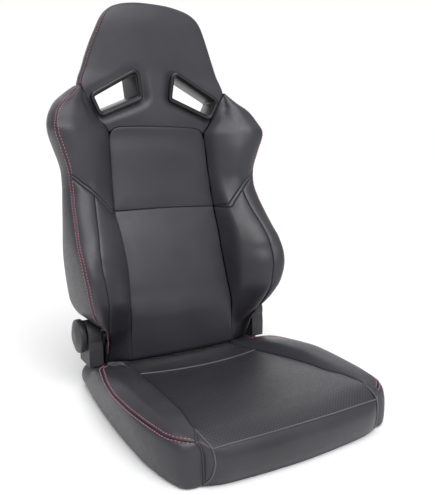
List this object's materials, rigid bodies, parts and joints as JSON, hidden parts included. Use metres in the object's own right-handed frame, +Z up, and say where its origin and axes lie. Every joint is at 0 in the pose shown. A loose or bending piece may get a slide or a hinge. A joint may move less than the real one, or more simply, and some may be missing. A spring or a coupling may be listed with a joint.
{
  "type": "racing seat",
  "caption": "Reclining bucket-style racing seat: winged one-piece backrest with harness slots, stitched leathercloth over foam, tube frame, and a knob recliner.",
  "frame": {"origin": "centre of the four tapped mounting holes, on the underside plane the seat stands on", "axes": "+Z up, -Y forwards (the way the sitter faces), +X towards the sitter's left"},
  "size_m": [0.542, 0.6914, 0.899],
  "materials": {
    "leathercloth": "satin black PVC leathercloth, crimson double-row stitching",
    "perforated_leathercloth": "satin black PVC leathercloth with fine staggered perforation towards the front",
    "rear_leathercloth": "plain black PVC leathercloth",
    "seat_foam": "moulded polyurethane foam",
    "frame_paint": "black powder-coated steel tube",
    "arm_paint": "black e-coated pressed steel",
    "zinc_steel": "zinc-plated steel",
    "spring_steel": "oiled spring steel wire",
    "bezel_plastic": "satin moulded ABS",
    "cover_plastic": "grained moulded polypropylene",
    "knob_plastic": "satin moulded ABS"
  },
  "bodies": {
    "base": {"base_frame": "frame_paint", "base_weld_nuts": "zinc_steel", "base_springs": "spring_steel", "spring_clips": "spring_steel", "cushion_core": "seat_foam", "cushion_insert_front": "perforated_leathercloth", "cushion_insert_rear": "perforated_leathercloth", "cushion_bolster_left": "leathercloth", "cushion_bolster_right": "leathercloth", "cushion_front_band": "leathercloth", "cushion_gusset_left": "leathercloth", "cushion_gusset_right": "leathercloth", "cushion_side_left": "leathercloth", "cushion_side_right": "leathercloth", "cushion_rear_band": "rear_leathercloth", "recliner_lower_arm_left": "arm_paint", "recliner_lower_arm_right": "arm_paint", "recliner_cover_left": "cover_plastic", "recliner_cover_right": "cover_plastic", "lower_arm_bolts": "zinc_steel"},
    "backrest": {"back_frame": "frame_paint", "back_wires": "spring_steel", "back_core": "seat_foam", "back_insert_lower": "leathercloth", "back_insert_upper": "leathercloth", "hip_bolster_left": "leathercloth", "hip_bolster_right": "leathercloth", "hip_wing_left": "leathercloth", "hip_wing_right": "leathercloth", "shoulder_bolster_left": "leathercloth", "shoulder_bolster_right": "leathercloth", "back_side_left": "leathercloth", "back_side_right": "leathercloth", "back_rear_panel": "rear_leathercloth", "head_pad": "leathercloth", "harness_bezel_front_left": "bezel_plastic", "harness_bezel_front_right": "bezel_plastic", "harness_bezel_rear_left": "bezel_plastic", "harness_bezel_rear_right": "bezel_plastic", "recliner_upper_arm_left": "arm_paint", "recliner_upper_arm_right": "arm_paint", "recliner_disc_left": "zinc_steel", "recliner_disc_right": "zinc_steel", "upper_arm_bolts": "zinc_steel"},
    "recline_drive": {"recliner_knob": "knob_plastic", "sync_rod": "zinc_steel", "rod_clip": "zinc_steel"}
  },
  "joints": [
    {"name": "recline", "type": "hinge", "parent": "base", "child": "backrest", "pos_m": [0, 0.225, 0.128], "axis": [-1, 0, 0], "range_deg": [-12, 55]},
    {"name": "knob_turn", "type": "hinge", "parent": "base", "child": "recline_drive", "pos_m": [0, 0.225, 0.128], "axis": [-1, 0, 0], "range_deg": [-432, 1980]}
  ],
  "couplings": [
    {"joint": "knob_turn", "follows": "recline", "ratio": 36}
  ]
}
